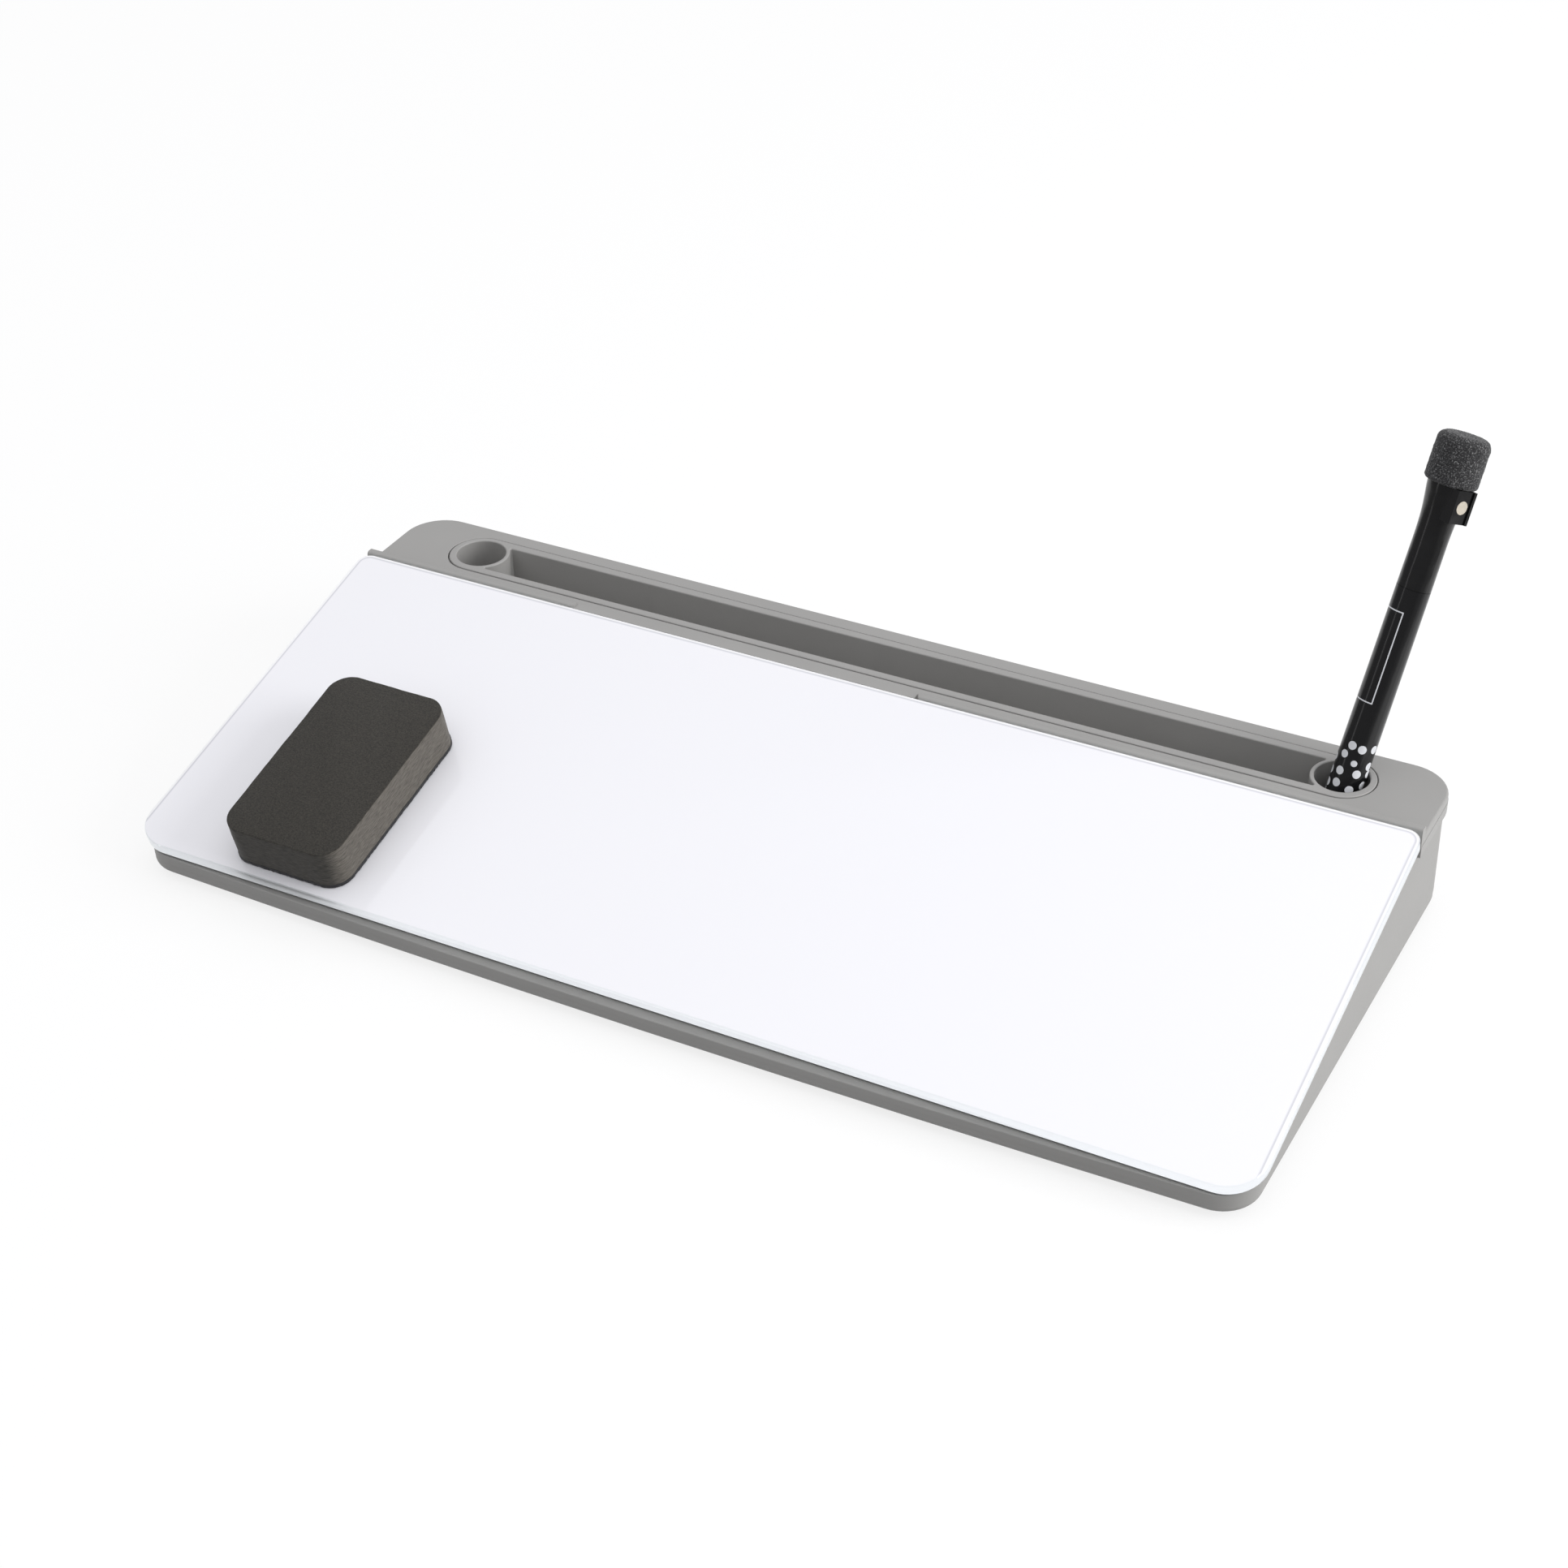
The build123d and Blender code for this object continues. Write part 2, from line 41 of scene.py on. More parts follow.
# ---------------------------------------------------------------- base housing and bottom pan
# Both are injection-moulded ABS in one mid grey, closed with screws from below. The mould was
# spark-eroded, so every outer face has a fine even grain and a satin sheen.
MM = 0.001


def linear(code):
    """An sRGB hex colour as the linear values that a shader takes."""
    parts = [int(code[i:i + 2], 16) / 255 for i in (1, 3, 5)]
    return [p / 12.92 if p <= 0.04045 else ((p + 0.055) / 1.055) ** 2.4 for p in parts] + [1.0]


def add(tree, kind, inputs=None, **settings):
    """Adds a node, sets what it is given and links the sockets that it is given."""
    node = tree.nodes.new(kind)
    for name, value in settings.items():
        setattr(node, name, value)
    for name, value in (inputs or {}).items():
        if isinstance(value, bpy.types.NodeSocket):
            tree.links.new(value, node.inputs[name])
        else:
            node.inputs[name].default_value = value
    return node


def start(name, roughness, ior=1.5, metallic=0.0):
    """A material with a Principled shader on its output, and the Object coordinates."""
    finish = bpy.data.materials.new(name)
    finish.use_nodes = True
    tree = finish.node_tree
    tree.nodes.clear()
    fixed = {"Roughness": roughness, "IOR": ior, "Metallic": metallic}
    shader = add(tree, "ShaderNodeBsdfPrincipled", fixed)
    add(tree, "ShaderNodeOutputMaterial", {"Surface": shader.outputs["BSDF"]})
    place = add(tree, "ShaderNodeTexCoord").outputs["Object"]
    return finish, tree, shader, place


def two_tone(tree, factor, low, high):
    """A colour that runs from low to high as the factor runs from 0 to 1."""
    ramp = add(tree, "ShaderNodeValToRGB", {"Fac": factor})
    ramp.color_ramp.elements[0].color = linear(low)
    ramp.color_ramp.elements[1].color = linear(high)
    return ramp.outputs["Color"]


def tint(tree, shader, factor, low, high):
    tree.links.new(two_tone(tree, factor, low, high), shader.inputs["Base Color"])


def noise(tree, place, size, detail):
    """A cloudy pattern from 0 to 1 with lumps of the given size."""
    fixed = {"Vector": place, "Scale": 1 / size, "Detail": detail}
    return add(tree, "ShaderNodeTexNoise", fixed).outputs["Fac"]


def spread_to(tree, value, low, high, start_low=0.0, start_high=1.0):
    """The value moved from one range to another, and held inside it."""
    limits = {"From Min": start_low, "From Max": start_high, "To Min": low, "To Max": high}
    return add(tree, "ShaderNodeMapRange", {"Value": value, **limits}).outputs["Result"]


def vary_roughness(tree, shader, pattern, low, high):
    tree.links.new(spread_to(tree, pattern, low, high), shader.inputs["Roughness"])


def emboss(tree, shader, pattern, strength, depth):
    """Raises the surface by a pattern, without moving the mesh."""
    bump = add(tree, "ShaderNodeBump", {"Height": pattern, "Strength": strength, "Distance": depth})
    tree.links.new(bump.outputs["Normal"], shader.inputs["Normal"])


def dress(finish, *nodes):
    """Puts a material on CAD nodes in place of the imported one."""
    for name in nodes:
        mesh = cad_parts[name].data
        mesh.materials.clear()
        mesh.materials.append(finish)


# ABS: IOR 1.54. The grain is 0.6 mm across and about 0.02 mm deep; a real one is nearer 0.1 mm
# across, which is too fine to show. The slow tone comes from flow in the mould.
grey_abs, tree, shader, place = start("spark_eroded_grey_abs", 0.5, 1.54)
flow = noise(tree, place, 30 * MM, 2.0)
tint(tree, shader, flow, "#9A9997", "#A1A09E")
grain = noise(tree, place, 0.6 * MM, 3.0)
vary_roughness(tree, shader, grain, 0.42, 0.58)
emboss(tree, shader, grain, 0.35, 0.05 * MM)
dress(grey_abs, "base_housing", "bottom_cover")

# ---------------------------------------------------------------- feet
# Five discs die-cut from black neoprene, pressed into round recesses in the bottom pan. Their
# faces are dull, with the dimpled skin of the sheet.
neoprene, tree, shader, place = start("black_neoprene", 0.8, 1.52)
skin = noise(tree, place, 0.8 * MM, 2.0)
tint(tree, shader, skin, "#161616", "#242424")
emboss(tree, shader, skin, 0.5, 0.08 * MM)
dress(neoprene, "rubber_feet")

# ---------------------------------------------------------------- screws
# Pan-head thread-cutting screws of zinc-plated steel: six hold the bottom pan and four hold the
# shelf cover. The plating is pale and a little blue, with soft blotches from the passivation.
zinc_plate, tree, shader, place = start("zinc_plated_steel", 0.32, metallic=1.0)
blotch = noise(tree, place, 2 * MM, 2.0)
tint(tree, shader, blotch, "#AEB1B6", "#CDD0D2")
vary_roughness(tree, shader, blotch, 0.25, 0.42)
dress(zinc_plate, "bottom_screws", "shelf_screws")

# ---------------------------------------------------------------- glass board
# Toughened float glass 4 mm thick, its back coated with white enamel and its edges ground and
# polished. From above it is a white mirror. Light that goes in through the top lies on the enamel,
# and is seen there through the clear edges, so they look as white as the top.
TILT = math.radians(13.5)
BOARD_CENTRE = Vector((0, -20.839, 31.905)) * MM
GLASS_WIDTH = 400.0 * MM
GLASS_DEPTH = 148.35 * MM
REAR_RADIUS = 5.0 * MM
RIM_SPAN = 4.0 * MM


def maths(tree, operation, *values):
    return add(tree, "ShaderNodeMath", dict(enumerate(values)), operation=operation).outputs[0]


def vectors(tree, operation, *values):
    return add(tree, "ShaderNodeVectorMath", dict(enumerate(values)), operation=operation)


def tilted(tree, place, origin, turn):
    """The place as seen from a frame with its own origin and turn."""
    fixed = {"Vector": place, "Location": origin, "Rotation": turn}
    return add(tree, "ShaderNodeMapping", fixed, vector_type="TEXTURE").outputs["Vector"]


float_glass, tree, shader, place = start("white_backed_float_glass", 0.03, 1.52)
flat = tilted(tree, place, BOARD_CENTRE, (TILT, 0, 0))
along = add(tree, "ShaderNodeSeparateXYZ", {"Vector": flat})
from_middle = maths(tree, "ABSOLUTE", along.outputs["X"])
folded = add(tree, "ShaderNodeCombineXYZ", {"X": from_middle, "Y": along.outputs["Y"]}).outputs[0]
corner = (GLASS_WIDTH / 2 - REAR_RADIUS, GLASS_DEPTH / 2 - REAR_RADIUS, 0)
inner = vectors(tree, "SUBTRACT", folded, corner).outputs[0]
outside = vectors(tree, "MAXIMUM", inner, (0, 0, 0)).outputs[0]
reach = vectors(tree, "LENGTH", outside).outputs["Value"]
sides = add(tree, "ShaderNodeSeparateXYZ", {"Vector": inner})
nearest = maths(tree, "MAXIMUM", sides.outputs["X"], sides.outputs["Y"])
nearest = maths(tree, "MINIMUM", nearest, 0.0)
from_edge = maths(tree, "SUBTRACT", REAR_RADIUS, reach)
from_edge = maths(tree, "SUBTRACT", from_edge, nearest)
# Along the back and the ends, the enamel's colour has a faint grey line about 1.3 mm from the edge,
# with a slightly paler strip outside it: a painted reflection of the polished edge face, seen through
# the top.
rim = add(tree, "ShaderNodeValToRGB", {"Fac": maths(tree, "MULTIPLY", from_edge, 1 / RIM_SPAN)})
rim.color_ramp.elements[0].color = linear("#FAFAFB")
rim.color_ramp.elements[1].color = linear("#F6F6FA")
rim.color_ramp.elements[1].position = 0.48
for position, code in ((0.25, "#F9F9FB"), (0.3, "#D6D6DC"), (0.37, "#DCDCE2")):
    rim.color_ramp.elements.new(position).color = linear(code)
tree.links.new(rim.outputs["Color"], shader.inputs["Base Color"])

surface = add(tree, "ShaderNodeNewGeometry")
board_normal = (0, -math.sin(TILT), math.cos(TILT))
facing = vectors(tree, "DOT_PRODUCT", surface.outputs["Normal"], board_normal).outputs["Value"]
is_enamel = maths(tree, "GREATER_THAN", facing, 0.9)
clear = add(tree, "ShaderNodeBsdfGlass", {"Color": linear("#FBFDFC"), "Roughness": 0.02, "IOR": 1.52})
panel = add(
    tree, "ShaderNodeMixShader", {0: is_enamel, 1: clear.outputs[0], 2: shader.outputs["BSDF"]}
)
# Light from the enamel leaves through the clear faces without being lost at them.
path = add(tree, "ShaderNodeLightPath")
soft_ray = maths(tree, "MAXIMUM", path.outputs["Is Shadow Ray"], path.outputs["Is Diffuse Ray"])
leaving = maths(tree, "MULTIPLY", soft_ray, surface.outputs["Backfacing"])
open_way = add(tree, "ShaderNodeBsdfTransparent", {"Color": linear("#FCFDFD")})
panel = add(
    tree, "ShaderNodeMixShader", {0: leaving, 1: panel.outputs[0], 2: open_way.outputs[0]}
)
output = next(node for node in tree.nodes if node.type == "OUTPUT_MATERIAL")
tree.links.new(panel.outputs[0], output.inputs["Surface"])
dress(float_glass, "glass_panel")

# ---------------------------------------------------------------- steel sheet and tape
# A galvanised steel sheet under the glass holds magnets, and strips of white foam tape stick it
# to the deck. Only their edges can be seen, in the gap under the glass.
galvanised, tree, shader, place = start("galvanised_steel_sheet", 0.4, metallic=1.0)
spangle = add(tree, "ShaderNodeTexVoronoi", {"Vector": place, "Scale": 1 / (6 * MM)})
tint(tree, shader, spangle.outputs["Distance"], "#8E9398", "#B4B8BB")
dress(galvanised, "steel_backing_sheet")

foam_tape, tree, shader, place = start("white_foam_tape", 0.85)
cells = noise(tree, place, 0.4 * MM, 2.0)
tint(tree, shader, cells, "#D5D4D0", "#E6E5E2")
dress(foam_tape, "adhesive_strips")

# ---------------------------------------------------------------- shelf cover and tray
# The shelf cover with its ridge, and the lift-out tray, are the same ABS from finer moulds: the
# grain is shallower, so their rounded edges catch a crisper line of light.
fine_abs, tree, shader, place = start("fine_grain_grey_abs", 0.45, 1.54)
flow = noise(tree, place, 30 * MM, 2.0)
tint(tree, shader, flow, "#9C9B99", "#A3A2A0")
grain = noise(tree, place, 0.5 * MM, 3.0)
vary_roughness(tree, shader, grain, 0.38, 0.52)
emboss(tree, shader, grain, 0.25, 0.04 * MM)
dress(fine_abs, "shelf_cover", "organizer_tray")

# ---------------------------------------------------------------- marker barrel and its plug
# An extruded polypropylene tube, glossy black, closed below by a pressed-in plug and screen
# printed in white: an empty panel outline half-way up and a band of polka dots at the foot.
MARKER_FOOT = Vector((166.5704, 78.0889, 44.9911)) * MM
MARKER_AXIS = Vector((0.123075, 0.367833, 0.921711))
BARREL_RADIUS = 5.75 * MM
PRINT_HEADING = math.radians(-81.7)


def marker_frame(heading):
    """The turn from world axes to the marker's own, with X towards a heading and Z along it."""
    aim = Vector((math.cos(heading), math.sin(heading), 0))
    aim = (aim - aim.dot(MARKER_AXIS) * MARKER_AXIS).normalized()
    return Matrix((aim, MARKER_AXIS.cross(aim), MARKER_AXIS)).transposed()


black_pp, tree, shader, place = start("printed_black_polypropylene", 0.16, 1.49)
print_turn = marker_frame(PRINT_HEADING).to_euler()
upright = tilted(tree, place, MARKER_FOOT, print_turn)
own = add(tree, "ShaderNodeSeparateXYZ", {"Vector": upright})
angle = maths(tree, "ARCTAN2", own.outputs["Y"], own.outputs["X"])
around = maths(tree, "MULTIPLY", angle, BARREL_RADIUS)
height = own.outputs["Z"]


def rectangle(tree, across, up, left, right, bottom, top):
    """Distance outside a rectangle on the unrolled barrel; it is below 0 inside."""
    sides = []
    for value, low, high in ((across, left, right), (up, bottom, top)):
        off = maths(tree, "ABSOLUTE", maths(tree, "SUBTRACT", value, (low + high) / 2))
        sides.append(maths(tree, "SUBTRACT", off, (high - low) / 2))
    return maths(tree, "MAXIMUM", *sides)


PANEL_LEFT = math.radians(-128) * BARREL_RADIUS
PANEL_RIGHT = math.radians(-5) * BARREL_RADIUS
PANEL_BOTTOM = 25.5 * MM
PANEL_TOP = 56.5 * MM
LINE_HALF_WIDTH = 0.2 * MM
panel = rectangle(tree, around, height, PANEL_LEFT, PANEL_RIGHT, PANEL_BOTTOM, PANEL_TOP)
outline = maths(tree, "LESS_THAN", maths(tree, "ABSOLUTE", panel), LINE_HALF_WIDTH)

# Each dot lies in its own cell of a Voronoi pattern, and its radius is a share of the cells'
# pitch. Most are large and some are small, and the band that they make has an uneven top.
DOT_PITCH = 4.6 * MM
SMALL_DOT = 0.17
LARGE_DOT = 0.31
LOWEST_TOP = 9 * MM
HIGHEST_TOP = 15 * MM
SEAM = math.radians(168) * BARREL_RADIUS
unrolled = add(tree, "ShaderNodeCombineXYZ", {"X": around, "Y": height}).outputs[0]
dots = add(
    tree,
    "ShaderNodeTexVoronoi",
    {"Vector": unrolled, "Scale": 1 / DOT_PITCH, "Randomness": 0.62},
    voronoi_dimensions="2D",
)
centre = add(tree, "ShaderNodeSeparateXYZ", {"Vector": dots.outputs["Position"]})
spare = add(tree, "ShaderNodeSeparateColor", {"Color": dots.outputs["Color"]})
dot_radius = spread_to(tree, spare.outputs[0], SMALL_DOT, LARGE_DOT, 0.0, 0.35)
top_of_dots = spread_to(tree, spare.outputs[1], LOWEST_TOP, HIGHEST_TOP)
low_enough = maths(tree, "LESS_THAN", centre.outputs["Y"], top_of_dots)
off_seam = maths(tree, "LESS_THAN", maths(tree, "ABSOLUTE", centre.outputs["X"]), SEAM)
in_dot = maths(tree, "LESS_THAN", dots.outputs["Distance"], dot_radius)
dotted = maths(tree, "MULTIPLY", in_dot, low_enough)
dotted = maths(tree, "MULTIPLY", dotted, off_seam)
inked = maths(tree, "MAXIMUM", outline, dotted)
tint(tree, shader, inked, "#0D0D0F", "#E4E6EA")
wave = noise(tree, place, 9 * MM, 1.0)
emboss(tree, shader, wave, 0.25, 0.3 * MM)
dress(black_pp, "marker_barrel", "marker_end_plug")

# ---------------------------------------------------------------- marker cap
# Injection-moulded polypropylene, plain glossy black. Thick and thin walls cooled unevenly, so
# its reflections waver a little more than the tube's.
cap_pp, tree, shader, place = start("moulded_black_polypropylene", 0.14, 1.49)
scuff = noise(tree, place, 1.5 * MM, 4.0)
tint(tree, shader, scuff, "#0C0C0D", "#101011")
vary_roughness(tree, shader, scuff, 0.1, 0.24)
wave = noise(tree, place, 7 * MM, 1.0)
emboss(tree, shader, wave, 0.4, 0.5 * MM)
dress(cap_pp, "marker_cap", "nib_holder")

# ---------------------------------------------------------------- inside the marker
# A wick of bonded fibres soaked in black ink, a felt nib pressed hard and cut to a bullet, and a
# soft polyethylene bush that the nib closes against.
fibre, tree, shader, place = start("inked_fibre", 0.9)
strand = noise(tree, place, 0.35 * MM, 3.0)
tint(tree, shader, strand, "#0E0E12", "#24242B")
emboss(tree, shader, strand, 0.6, 0.1 * MM)
dress(fibre, "ink_reservoir", "writing_nib")

bush_pe, tree, shader, place = start("natural_polyethylene", 0.45, 1.51)
shader.inputs["Subsurface Weight"].default_value = 0.2
shader.inputs["Subsurface Scale"].default_value = 1 * MM
cloud = noise(tree, place, 2 * MM, 2.0)
tint(tree, shader, cloud, "#D9D8D2", "#E8E7E2")
dress(bush_pe, "cap_seal")

# ---------------------------------------------------------------- cap magnet
# A small disc magnet, nickel-plated and pressed into the flat on the cap's side. The plating is
# warm in tone and lightly tumbled, so it reflects softly.
nickel, tree, shader, place = start("nickel_plated_magnet", 0.35, metallic=1.0)
tumbled = noise(tree, place, 0.5 * MM, 3.0)
tint(tree, shader, tumbled, "#E6DCCB", "#F2EADB")
vary_roughness(tree, shader, tumbled, 0.28, 0.45)
dress(nickel, "cap_magnet")

# ---------------------------------------------------------------- felt tip on the cap
# A stub turned from charcoal needle felt and pushed over the cap's stem, for wiping small
# mistakes. Cut fibre ends stand all over it; their pale specks are a painted highlight in its colour.
TIP_RADIUS = 8.65 * MM
TIP_START = 99.15 * MM
TIP_END = 115.1 * MM
TIP_TOP_ROUND = 3.0 * MM
TIP_FOOT_ROUND = 1.2 * MM
TIP_RING = 0.42 * MM
TIP_RINGS = 12
TOLERANCE = 0.01 * MM


def pick(kind, test):
    """In edit mode, selects the vertices, edges or faces that pass a test."""
    bpy.ops.mesh.select_mode(type=kind)
    bpy.ops.mesh.select_all(action="DESELECT")
    mesh = bmesh.from_edit_mesh(bpy.context.object.data)
    for item in {"VERT": mesh.verts, "EDGE": mesh.edges, "FACE": mesh.faces}[kind]:
        if test(item):
            item.select_set(True)
    mesh.select_flush_mode()
    bmesh.update_edit_mesh(bpy.context.object.data)


def apply_modifiers(piece):
    for modifier in list(piece.modifiers):
        bpy.ops.object.modifier_apply(modifier=modifier.name)


def settle(piece, turn, place):
    """Moves a finished piece from the drawing axes to its place, inside its mesh."""
    piece.matrix_world = Matrix.Translation(place) @ turn.to_4x4()
    bpy.ops.object.transform_apply(location=True, rotation=True, scale=True)


def fuzz(shader, weight, roughness):
    """The soft pale edge that loose fibres or torn foam give a surface."""
    shader.inputs["Sheen Weight"].default_value = weight
    shader.inputs["Sheen Roughness"].default_value = roughness


def roughen(piece, name, size, amount):
    """Pushes the surface in and out by a cloudy noise with lumps of the given size."""
    cloud = bpy.data.textures.new(name, "CLOUDS")
    cloud.noise_scale = size
    modifier = piece.modifiers.new(name, "DISPLACE")
    modifier.texture = cloud
    modifier.texture_coords = "LOCAL"
    modifier.strength = amount
    modifier.mid_level = 0.5


tip_height = TIP_END - TIP_START
bpy.ops.mesh.primitive_cylinder_add(vertices=96, radius=TIP_RADIUS, depth=tip_height)
felt_stub = bpy.context.object
felt_stub.name = "felt_stub"
bpy.ops.object.mode_set(mode="EDIT")
pick("EDGE", lambda edge: all(vert.co.z > 0 for vert in edge.verts))
bpy.ops.mesh.bevel(offset=TIP_TOP_ROUND, segments=8)
foot_line = -tip_height / 2 + TOLERANCE
pick("EDGE", lambda edge: all(vert.co.z < foot_line for vert in edge.verts))
bpy.ops.mesh.bevel(offset=TIP_FOOT_ROUND, segments=5)
pick("EDGE", lambda edge: abs(edge.verts[0].co.z - edge.verts[1].co.z) > 5 * MM)
bpy.ops.mesh.subdivide(number_cuts=24)
pick("FACE", lambda face: len(face.verts) > 20)
for ring in range(TIP_RINGS):
    bpy.ops.mesh.inset(thickness=TIP_RING)
bpy.ops.object.mode_set(mode="OBJECT")
felt_stub.modifiers.new("finer", "SUBSURF").levels = 1
roughen(felt_stub, "felt_lumps", 1.4 * MM, 0.28 * MM)
roughen(felt_stub, "felt_fibres", 0.35 * MM, 0.22 * MM)
apply_modifiers(felt_stub)
bpy.ops.object.shade_smooth()
tip_turn = marker_frame(0.0)
settle(felt_stub, tip_turn, MARKER_FOOT + MARKER_AXIS * (TIP_START + TIP_END) / 2)

charcoal_felt, tree, shader, place = start("charcoal_needle_felt", 0.95)
fuzz(shader, 0.25, 0.4)
fibre_ends_and_glints = noise(tree, place, 0.45 * MM, 3.0)
# Pale specks painted into the base colour: painted glints of the fibre ends, whose relief is real.
ramp = add(tree, "ShaderNodeValToRGB", {"Fac": fibre_ends_and_glints})
ramp.color_ramp.elements[0].color = linear("#1E1E1F")
ramp.color_ramp.elements[0].position = 0.38
ramp.color_ramp.elements[1].color = linear("#8C8C8C")
ramp.color_ramp.elements[1].position = 0.72
ramp.color_ramp.elements.new(0.56).color = linear("#3C3C3D")
tree.links.new(ramp.outputs["Color"], shader.inputs["Base Color"])
emboss(tree, shader, fibre_ends_and_glints, 0.8, 0.25 * MM)
felt_stub.data.materials.append(charcoal_felt)
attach(felt_stub, "cap")
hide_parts("felt_tip_eraser")

# ---------------------------------------------------------------- block eraser
# A block of closed-cell EVA foam with a wiping pad of black felt glued under it, cut out as one.
# The top is smooth and dull, the cut sides show long streaks, and the felt's edge frays.
ERASER_CENTRE = Vector((-138.2, -32.575, 0)) * MM
ERASER_WIDTH = 45.4 * MM
ERASER_LENGTH = 75.8 * MM
ERASER_CORNER = 8.0 * MM
FELT_BOTTOM = 0.3 * MM
FELT_TOP = 1.6 * MM
FOAM_TOP = 16.3 * MM
STREAK_SCALE = (0.12, 0.12, 1.0)
board_turn = Matrix.Rotation(TILT, 3, "X")


def eraser_slab(name, bottom, top, less, cuts):
    """A block a little under the eraser's size, with its sides divided finely all round."""
    width = ERASER_WIDTH - less
    length = ERASER_LENGTH - less
    bpy.ops.object.select_all(action="DESELECT")
    bpy.ops.mesh.primitive_cube_add(size=1)
    piece = bpy.context.object
    piece.name = name
    bpy.ops.object.mode_set(mode="EDIT")
    bpy.ops.transform.resize(value=(width, length, top - bottom), center_override=(0, 0, 0))
    bpy.ops.transform.translate(value=(0, 0, (bottom + top) / 2))
    pick("EDGE", lambda edge: abs(edge.verts[0].co.z - edge.verts[1].co.z) > (top - bottom) / 2)
    bpy.ops.mesh.bevel(offset=ERASER_CORNER, segments=14)
    pick("EDGE", lambda edge: (edge.verts[0].co - edge.verts[1].co).length > width / 3)
    bpy.ops.mesh.subdivide(number_cuts=cuts)
    return piece


foam_block = eraser_slab("foam_block", FELT_TOP, FOAM_TOP, 0.3 * MM, 40)
pick("EDGE", lambda edge: abs(edge.verts[0].co.z - edge.verts[1].co.z) > 5 * MM)
bpy.ops.mesh.subdivide(number_cuts=7)
pick("EDGE", lambda edge: all(vert.co.z > FOAM_TOP - TOLERANCE for vert in edge.verts))
bpy.ops.mesh.bevel(offset=0.45 * MM, segments=3)
bpy.ops.object.mode_set(mode="OBJECT")
roughen(foam_block, "foam_cut", 9 * MM, 0.35 * MM)
apply_modifiers(foam_block)
bpy.ops.object.shade_smooth_by_angle(angle=math.radians(35))
settle(foam_block, board_turn, BOARD_CENTRE + board_turn @ ERASER_CENTRE)

eva_foam, tree, shader, place = start("eva_foam", 0.9, 1.48)
fuzz(shader, 0.15, 0.5)
level = tilted(tree, place, BOARD_CENTRE, (TILT, 0, 0))
cell = noise(tree, place, 0.5 * MM, 4.0)
pore = spread_to(tree, cell, 0.0, 1.0, 0.35, 0.65)
skin_tone = two_tone(tree, pore, "#23211D", "#3B3832")
# Streaks run round the cut sides, eight times as long as they are high.
streak = add(tree, "ShaderNodeMapping", {"Vector": level, "Scale": STREAK_SCALE}).outputs["Vector"]
cut = noise(tree, streak, 0.3 * MM, 4.0)
fleck = spread_to(tree, cut, 0.0, 1.0, 0.3, 0.75)
short_side = two_tone(tree, fleck, "#22201C", "#524F49")
painted_lit_long_side = two_tone(tree, fleck, "#48443E", "#736E66")
# Both long sides are painted paler than the ends: painted light from the low box on the right.
normal = add(tree, "ShaderNodeNewGeometry").outputs["Normal"]
sideways = add(tree, "ShaderNodeSeparateXYZ", {"Vector": normal}).outputs["X"]
is_long = spread_to(tree, maths(tree, "ABSOLUTE", sideways), 0.0, 1.0, 0.5, 0.9)
facing = vectors(tree, "DOT_PRODUCT", normal, board_normal).outputs["Value"]
is_skin = spread_to(tree, facing, 0.0, 1.0, 0.3, 0.9)
side_tone = add(
    tree, "ShaderNodeMix", {0: is_long, 6: short_side, 7: painted_lit_long_side}, data_type="RGBA"
)
tone = add(
    tree, "ShaderNodeMix", {0: is_skin, 6: side_tone.outputs[2], 7: skin_tone}, data_type="RGBA"
)
tree.links.new(tone.outputs[2], shader.inputs["Base Color"])
both = add(tree, "ShaderNodeMix", {0: is_skin, 2: cut, 3: cell})
emboss(tree, shader, both.outputs[0], 0.6, 0.25 * MM)
foam_block.data.materials.append(eva_foam)
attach(foam_block, "eraser")
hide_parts("eraser_foam_block")

wiping_felt = eraser_slab("wiping_felt", FELT_BOTTOM, FELT_TOP, 0.1 * MM, 90)
pick("EDGE", lambda edge: abs(edge.verts[0].co.z - edge.verts[1].co.z) > 0.5 * MM)
bpy.ops.mesh.subdivide(number_cuts=2)
bpy.ops.object.mode_set(mode="OBJECT")
roughen(wiping_felt, "felt_fray", 0.9 * MM, 0.5 * MM)
apply_modifiers(wiping_felt)
bpy.ops.object.shade_smooth_by_angle(angle=math.radians(35))
settle(wiping_felt, board_turn, BOARD_CENTRE + board_turn @ ERASER_CENTRE)

black_felt, tree, shader, place = start("black_wool_felt", 0.95)
fuzz(shader, 0.2, 0.5)
hair = noise(tree, place, 0.4 * MM, 4.0)
tint(tree, shader, hair, "#0E0E10", "#2A2A2E")
emboss(tree, shader, hair, 0.8, 0.25 * MM)
wiping_felt.data.materials.append(black_felt)
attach(wiping_felt, "eraser")
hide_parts("eraser_felt_pad")

# ---------------------------------------------------------------- floor
# A plain white table top, so wide that its edge shows only from low down, as a far horizon. Its
# light falls off half a metre out, so a glossy piece shows it as a bright band that ends there.
LIT_RADIUS = 0.5
LIT_GLOW = 0.8
FAR_GLOW = 0.1
FADE = 0.03
bpy.ops.object.select_all(action="DESELECT")
bpy.ops.mesh.primitive_plane_add(size=60)
floor = bpy.context.object
floor.name = "floor"
table_top = bpy.data.materials.new("white_table_top")
table_top.use_nodes = True
tree = table_top.node_tree
tree.nodes.clear()
paint = add(tree, "ShaderNodeBsdfDiffuse", {"Color": linear("#A6A6A6")})
shaded = add(tree, "ShaderNodeBsdfDiffuse", {"Color": (0.2, 0.2, 0.2, 1)})
path = add(tree, "ShaderNodeLightPath")
spot = add(tree, "ShaderNodeTexCoord").outputs["Object"]
away = vectors(tree, "LENGTH", spot).outputs["Value"]
pool = spread_to(tree, away, LIT_GLOW, FAR_GLOW, LIT_RADIUS, LIT_RADIUS + FADE)
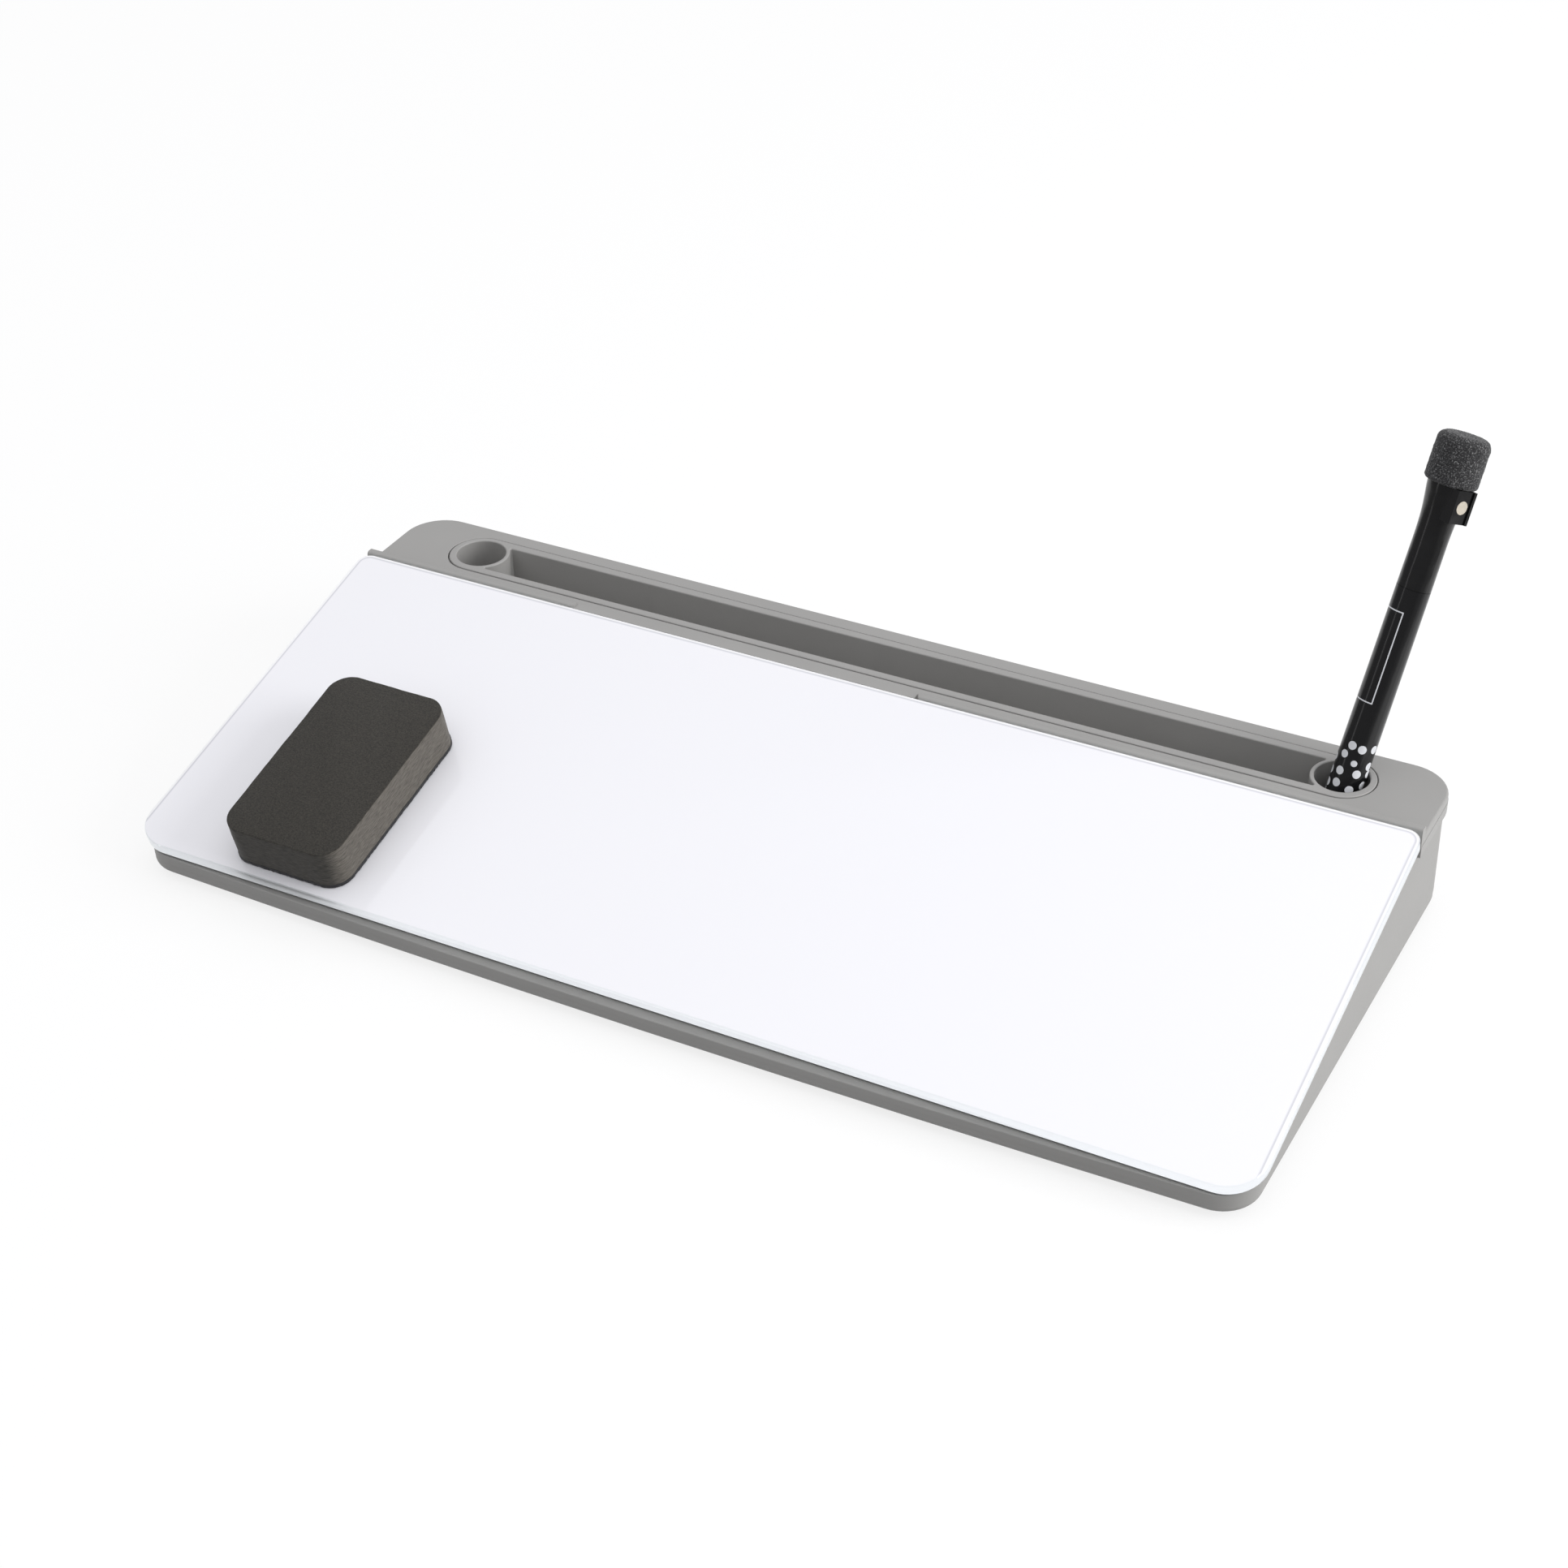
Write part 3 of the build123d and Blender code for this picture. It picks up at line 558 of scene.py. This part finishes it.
strength = add(tree, "ShaderNodeMix", {0: path.outputs["Is Glossy Ray"], 2: LIT_GLOW, 3: pool})
glow = add(tree, "ShaderNodeEmission", {"Color": (1, 1, 1, 1), "Strength": strength.outputs[0]})
seen = add(tree, "ShaderNodeAddShader", {0: shaded.outputs[0], 1: glow.outputs[0]})
direct = maths(tree, "MAXIMUM", path.outputs["Is Camera Ray"], path.outputs["Is Glossy Ray"])
direct = maths(tree, "MAXIMUM", direct, path.outputs["Is Transmission Ray"])
mixed = add(tree, "ShaderNodeMixShader", {0: direct, 1: paint.outputs[0], 2: seen.outputs[0]})
add(tree, "ShaderNodeOutputMaterial", {"Surface": mixed.outputs[0]})
floor.data.materials.append(table_top)

# ---------------------------------------------------------------- light
# A pale ceiling lights the object from above, a soft box stands low on the right, and a narrow one
# at the front left draws a thin line on glossy pieces.
AIM = Vector((0, 0, 0.02))
HORIZON = 0.3
ZENITH = 1.42


def soft_box(name, azimuth, elevation, distance, width, height, level):
    """An area lamp of a stated level of light, where 1 shows colours as written."""
    turn = math.radians(azimuth)
    rise = math.radians(elevation)
    away = Vector((math.cos(turn) * math.cos(rise), math.sin(turn) * math.cos(rise), math.sin(rise)))
    data = bpy.data.lights.new(name, "AREA")
    data.shape = "RECTANGLE"
    data.size = width
    data.size_y = height
    data.energy = level * (math.pi * distance) ** 2
    lamp = bpy.data.objects.new(name, data)
    lamp.location = AIM + away * distance
    lamp.rotation_euler = (-away).to_track_quat("-Z", "Y").to_euler()
    lamp.visible_camera = False
    bpy.context.scene.collection.objects.link(lamp)
    return lamp


soft_box("side_box", 10, 22, 1.6, 1.1, 1.1, 0.7)
soft_box("strip_box", -135, 12, 2.2, 0.12, 1.2, 0.02)
room = bpy.data.worlds.new("room")
room.use_nodes = True
tree = room.node_tree
tree.nodes.clear()
towards = add(tree, "ShaderNodeTexCoord").outputs["Generated"]
height = add(tree, "ShaderNodeSeparateXYZ", {"Vector": towards}).outputs["Z"]
height = maths(tree, "POWER", maths(tree, "MAXIMUM", height, 0.0), 2.0)
level = spread_to(tree, height, HORIZON, ZENITH)
dome = add(tree, "ShaderNodeBackground", {"Color": linear("#FAFAFC"), "Strength": level})
add(tree, "ShaderNodeOutputWorld", {"Surface": dome.outputs[0]})
bpy.context.scene.world = room
bpy.context.scene.view_settings.view_transform = "Standard"

# ---------------------------------------------------------------- camera
# It looks down on the board from the front right, through a short telephoto lens.
CAMERA_PLACE = Vector((385.5, -698.5, 588.4)) * MM
camera_data = bpy.data.cameras.new("camera")
camera_data.sensor_width = 36.0
camera_data.lens = 67.83
camera = bpy.data.objects.new("camera", camera_data)
bpy.context.scene.collection.objects.link(camera)
right = Vector((0.883, 0.469, -0.023)).normalized()
ahead = Vector((-0.397, 0.721, -0.567)).normalized()
up = right.cross(ahead).normalized()
right = ahead.cross(up)
camera_turn = Matrix((right, up, -ahead)).transposed().to_4x4()
camera.matrix_world = Matrix.Translation(CAMERA_PLACE) @ camera_turn
bpy.context.scene.camera = camera
